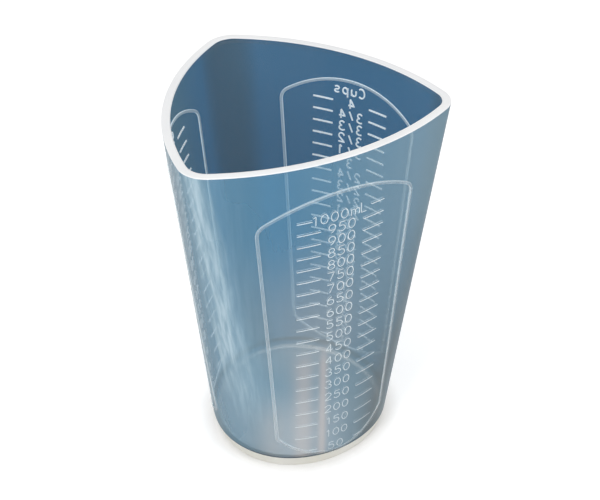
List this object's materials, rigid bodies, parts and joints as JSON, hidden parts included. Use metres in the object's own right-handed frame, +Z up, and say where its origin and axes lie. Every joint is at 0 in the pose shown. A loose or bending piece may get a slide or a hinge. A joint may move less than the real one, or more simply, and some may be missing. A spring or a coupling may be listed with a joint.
{
  "type": "resin mixing cup",
  "caption": "Flexible translucent mixing cup with a rounded-triangle pouring rim, a near-round foot and raised measuring scales.",
  "frame": {"origin": "centre of the foot's flat underside, on the axis of the three-sided outline", "axes": "+Z up out of the cup's mouth; the millilitre wall faces -Y, the cups wall faces 30 degrees above +X towards +Y, and the ounce wall faces 30 degrees above -X towards +Y"},
  "size_m": [0.12, 0.1186, 0.1755],
  "materials": {
    "wall_silicone": "translucent blue, satin",
    "lip_silicone": "milky, satin",
    "foot_silicone": "milky, satin",
    "raised_marks": "pale translucent, glossy"
  },
  "bodies": {
    "root": {"foot_ring": "foot_silicone", "cup_floor": "foot_silicone", "cup_wall": "wall_silicone", "rim_lip": "lip_silicone", "millilitre_panel_bead": "raised_marks", "cups_panel_bead": "raised_marks", "ounce_panel_bead": "raised_marks", "millilitre_graduations": "raised_marks", "cups_graduations": "raised_marks", "ounce_graduations": "raised_marks"}
  },
  "joints": []
}
